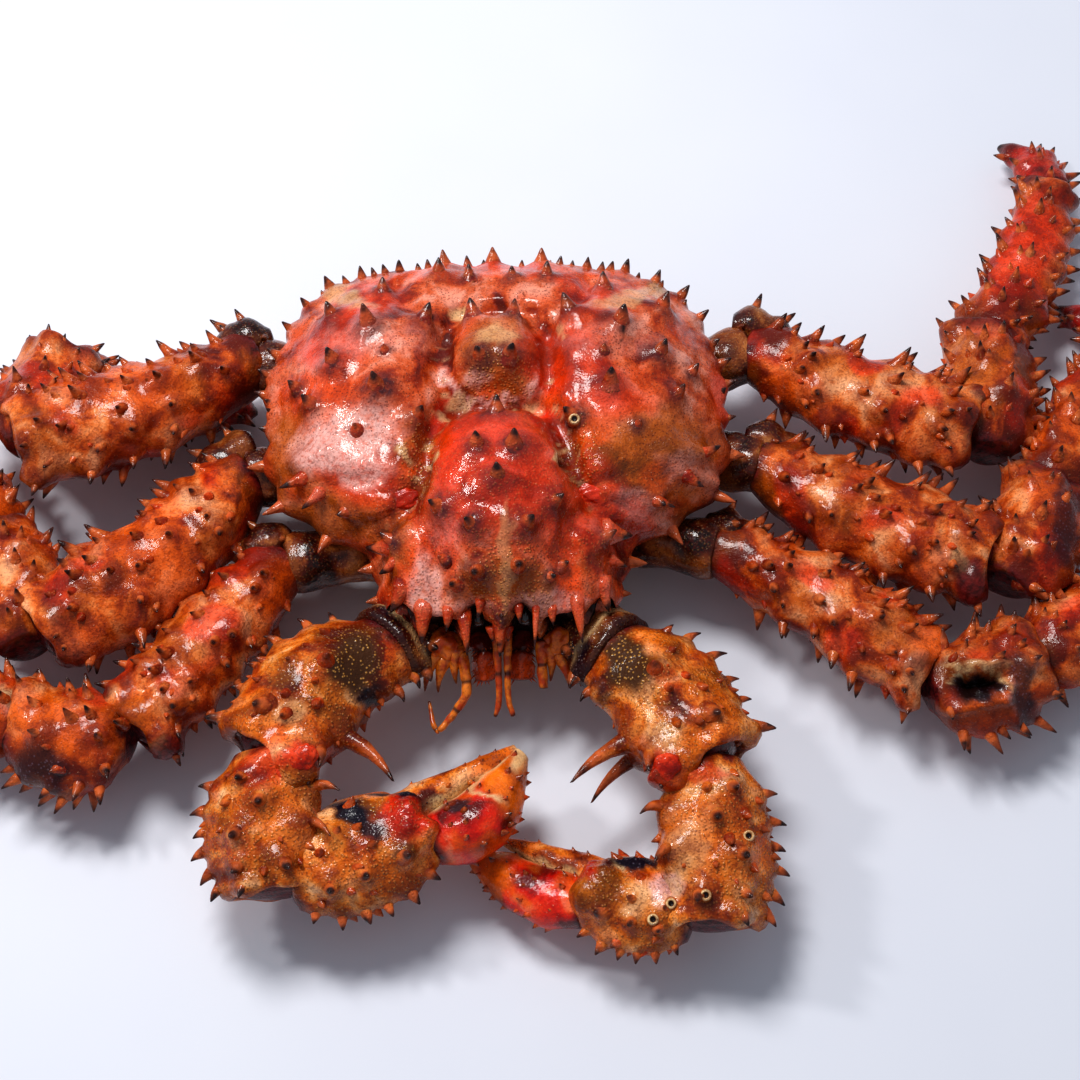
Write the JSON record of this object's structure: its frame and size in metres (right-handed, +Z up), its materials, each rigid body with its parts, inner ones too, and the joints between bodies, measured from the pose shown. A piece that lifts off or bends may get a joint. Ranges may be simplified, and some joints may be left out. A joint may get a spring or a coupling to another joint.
{
  "type": "whole cooked king crab",
  "caption": "Whole cooked king crab lying on its belly, with a spiny carapace, folded claws and bent walking legs; food prop.",
  "frame": {"origin": "centre of the footprint of the whole crab, on the surface that it lies on", "axes": "+X towards the crab's left, +Y towards its tail, +Z up"},
  "size_m": [0.6028, 0.3938, 0.0973],
  "materials": {
    "carapace_shell": "wet cooked shell, mottled red and orange",
    "leg_shell": "wet cooked shell, orange brown with red patches",
    "claw_shell": "wet cooked shell, yellowish orange with dark granules",
    "finger_shell": "glossy red shell with a cream edge",
    "toe_shell": "glossy dark red shell with a black tip",
    "hip_shell": "wet dark brown shell",
    "underside": "satin cream shell with orange edges",
    "mouth_shell": "wet orange red shell",
    "feeler": "satin orange brown with dark joints",
    "eye": "glossy near black"
  },
  "bodies": {
    "root": {"carapace": "carapace_shell", "thorax": "underside", "tail_flap": "underside", "tail_base": "leg_shell", "eye_left": "eye", "eye_right": "eye", "mouthpart_left": "mouth_shell", "mouthpart_right": "mouth_shell", "antennule_left": "feeler", "antennule_right": "feeler", "antenna_left": "feeler", "antenna_right": "feeler", "claw_left_coxa": "hip_shell", "claw_left_merus": "claw_shell", "claw_left_carpus": "claw_shell", "claw_left_palm": "claw_shell", "claw_left_thumb": "finger_shell", "claw_right_coxa": "hip_shell", "claw_right_merus": "claw_shell", "claw_right_carpus": "claw_shell", "claw_right_palm": "claw_shell", "claw_right_thumb": "finger_shell", "leg_left_1_coxa": "hip_shell", "leg_left_1_merus": "leg_shell", "leg_left_1_carpus": "leg_shell", "leg_left_1_propodus": "leg_shell", "leg_left_1_dactyl": "toe_shell", "leg_left_2_coxa": "hip_shell", "leg_left_2_merus": "leg_shell", "leg_left_2_carpus": "leg_shell", "leg_left_2_propodus": "leg_shell", "leg_left_2_dactyl": "toe_shell", "leg_left_3_coxa": "hip_shell", "leg_left_3_merus": "leg_shell", "leg_left_3_carpus": "leg_shell", "leg_left_3_propodus": "leg_shell", "leg_left_3_dactyl": "toe_shell", "leg_right_1_coxa": "hip_shell", "leg_right_1_merus": "leg_shell", "leg_right_1_carpus": "leg_shell", "leg_right_1_propodus": "leg_shell", "leg_right_1_dactyl": "toe_shell", "leg_right_2_coxa": "hip_shell", "leg_right_2_merus": "leg_shell", "leg_right_2_carpus": "leg_shell", "leg_right_2_propodus": "leg_shell", "leg_right_2_dactyl": "toe_shell", "leg_right_3_coxa": "hip_shell", "leg_right_3_merus": "leg_shell", "leg_right_3_carpus": "leg_shell", "leg_right_3_propodus": "leg_shell", "leg_right_3_dactyl": "toe_shell"}
  },
  "joints": []
}
